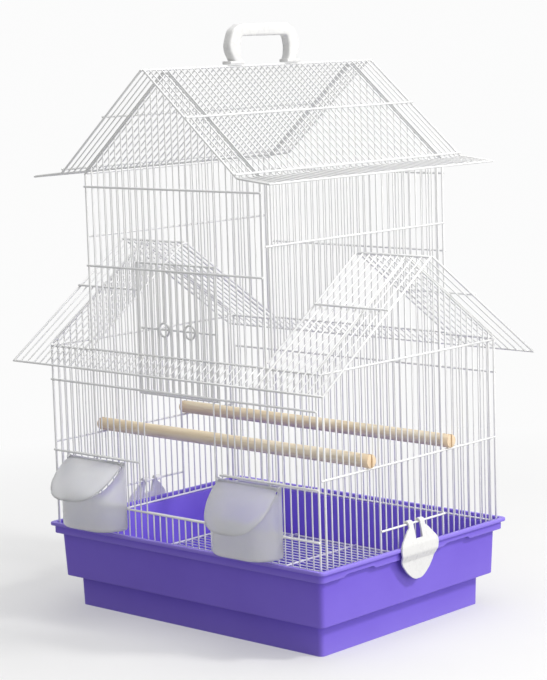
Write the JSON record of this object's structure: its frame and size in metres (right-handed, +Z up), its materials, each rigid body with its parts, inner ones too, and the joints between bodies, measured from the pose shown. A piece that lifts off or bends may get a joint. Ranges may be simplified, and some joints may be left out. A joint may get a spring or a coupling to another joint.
{
  "type": "bird cage",
  "caption": "White wire bird cage: a gabled tower over a wider gabled house, on a stepped plastic tray, with sliding door, perches, hooded feeder cups, clips and a carrying handle.",
  "frame": {"origin": "centre of the tray's underside, on the surface that the cage stands on", "axes": "+X along the front wall to the right, +Y from the front to the back, +Z up"},
  "size_m": [0.5056, 0.4241, 0.711],
  "materials": {
    "wire": "white coated steel wire, satin",
    "tray_plastic": "moulded purple plastic, fairly glossy",
    "perch_wood": "turned pale wood, unvarnished",
    "cup_plastic": "frosted translucent plastic",
    "white_plastic": "moulded white plastic, satin"
  },
  "bodies": {
    "cage": {"tray": "tray_plastic", "front_wall": "wire", "back_wall": "wire", "left_wall": "wire", "right_wall": "wire", "tower_left_wall": "wire", "tower_right_wall": "wire", "upper_roof_left": "wire", "upper_roof_right": "wire", "wing_roof_left_front": "wire", "wing_roof_left_back": "wire", "wing_roof_right_front": "wire", "wing_roof_right_back": "wire", "skirt_front": "wire", "skirt_back": "wire", "handle": "white_plastic"},
    "door": {"front_door": "wire"},
    "grate": {"floor_grate": "wire"},
    "front_perch": {"perch_front": "perch_wood"},
    "back_perch": {"perch_back": "perch_wood"},
    "left_cup": {"feeder_cup_left": "cup_plastic"},
    "left_hood": {"feeder_hood_left": "cup_plastic"},
    "right_cup": {"feeder_cup_right": "cup_plastic"},
    "right_hood": {"feeder_hood_right": "cup_plastic"},
    "left_clip": {"clip_left": "white_plastic"},
    "right_clip": {"clip_right": "white_plastic"}
  },
  "joints": [
    {"name": "door_slide", "type": "slide", "parent": "cage", "child": "door", "axis": [0, 0, 1], "range_m": [-0.1475, 0]},
    {"name": "grate_lift", "type": "slide", "parent": "cage", "child": "grate", "axis": [0, 0, 1], "range_m": [0, 0.08]},
    {"name": "front_perch_lift", "type": "slide", "parent": "cage", "child": "front_perch", "axis": [0, 0, 1], "range_m": [0, 0.095]},
    {"name": "back_perch_lift", "type": "slide", "parent": "cage", "child": "back_perch", "axis": [0, 0, 1], "range_m": [0, 0.095]},
    {"name": "left_cup_lift", "type": "slide", "parent": "cage", "child": "left_cup", "axis": [0, 0, 1], "range_m": [0, 0.012]},
    {"name": "right_cup_lift", "type": "slide", "parent": "cage", "child": "right_cup", "axis": [0, 0, 1], "range_m": [0, 0.012]},
    {"name": "left_hood_hinge", "type": "hinge", "parent": "left_cup", "child": "left_hood", "pos_m": [-0.1365, -0.1705, 0.193], "axis": [-1, 0, 0], "range_deg": [-11, 49]},
    {"name": "right_hood_hinge", "type": "hinge", "parent": "right_cup", "child": "right_hood", "pos_m": [0.1155, -0.1705, 0.193], "axis": [-1, 0, 0], "range_deg": [0, 60]},
    {"name": "left_clip_hinge", "type": "hinge", "parent": "cage", "child": "left_clip", "pos_m": [-0.21765, 0, 0.131], "axis": [0, 1, 0], "range_deg": [0, 110]},
    {"name": "right_clip_hinge", "type": "hinge", "parent": "cage", "child": "right_clip", "pos_m": [0.21765, 0, 0.131], "axis": [0, -1, 0], "range_deg": [0, 110]}
  ]
}
